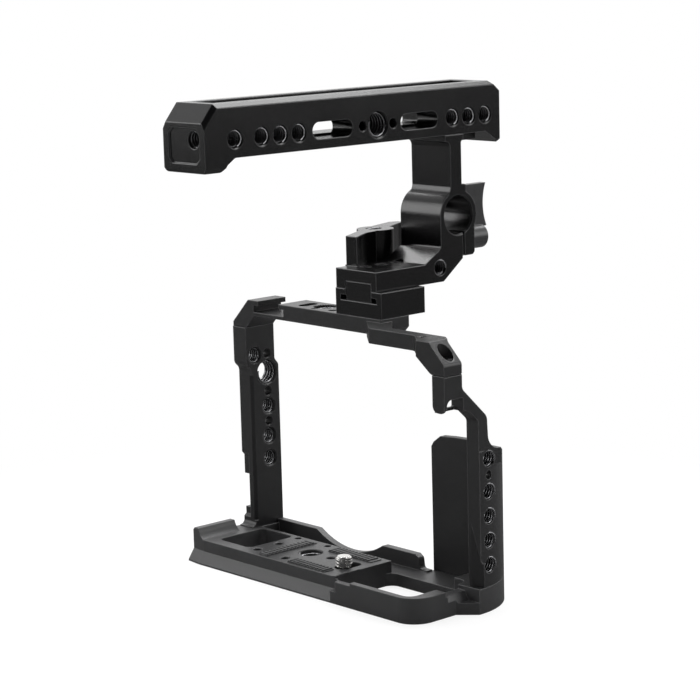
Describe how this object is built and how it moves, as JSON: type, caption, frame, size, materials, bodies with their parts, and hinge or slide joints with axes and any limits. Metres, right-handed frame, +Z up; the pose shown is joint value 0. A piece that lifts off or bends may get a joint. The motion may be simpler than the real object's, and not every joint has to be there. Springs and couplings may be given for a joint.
{
  "type": "camera cage with top handle",
  "caption": "Open camera cage with a flat base, two side posts, cold shoe, curved grip side and a sliding top handle with a rod ring and a wing clamp.",
  "frame": {"origin": "centre of the tripod hole on the underside of the base", "axes": "+X towards the grip side seen from behind, +Y towards the lens side, +Z up"},
  "size_m": [0.143, 0.154, 0.1955],
  "materials": {
    "cage_satin": "satin anodised, bead blasted",
    "gloss_black": "smooth anodised",
    "grip_dark": "satin anodised",
    "rubber": "ribbed",
    "screw_black": "blackened",
    "steel": "bright",
    "nickel": "nickel plated",
    "knob_satin": "satin anodised"
  },
  "bodies": {
    "cage": {"base_plate": "cage_satin", "base_pads": "rubber", "left_post": "cage_satin", "right_post": "cage_satin", "grip_plate": "grip_dark", "top_frame": "cage_satin", "shoe_block": "gloss_black", "post_screws": "screw_black", "frame_screws": "screw_black", "frame_dowels": "steel", "shoe_screws": "screw_black", "grip_screws": "screw_black"},
    "screw_carrier": {"screw_carrier": "steel"},
    "camera_screw": {"camera_screw": "nickel"},
    "handle": {"handle_bar": "gloss_black", "riser": "gloss_black", "shoe_slider": "gloss_black", "slider_screws": "screw_black", "riser_screws": "screw_black", "riser_dowels": "steel"},
    "clamp_screw": {"wing_knob": "knob_satin", "clamp_stud": "steel", "clamp_washer": "steel"}
  },
  "joints": [
    {"name": "carrier_slide", "type": "slide", "parent": "cage", "child": "screw_carrier", "axis": [0, 1, 0], "range_m": [-0.0005, 0.0045]},
    {"name": "camera_screw_turn", "type": "hinge", "parent": "screw_carrier", "child": "camera_screw", "pos_m": [0.0257, -0.005, 0.005], "axis": [0, 0, 1], "continuous": true},
    {"name": "handle_slide", "type": "slide", "parent": "cage", "child": "handle", "axis": [0, -1, 0], "range_m": [0, 0.022]},
    {"name": "clamp_turn", "type": "hinge", "parent": "handle", "child": "clamp_screw", "pos_m": [0.0205, 0.0552, 0.1318], "axis": [0, 1, 0], "continuous": true}
  ]
}
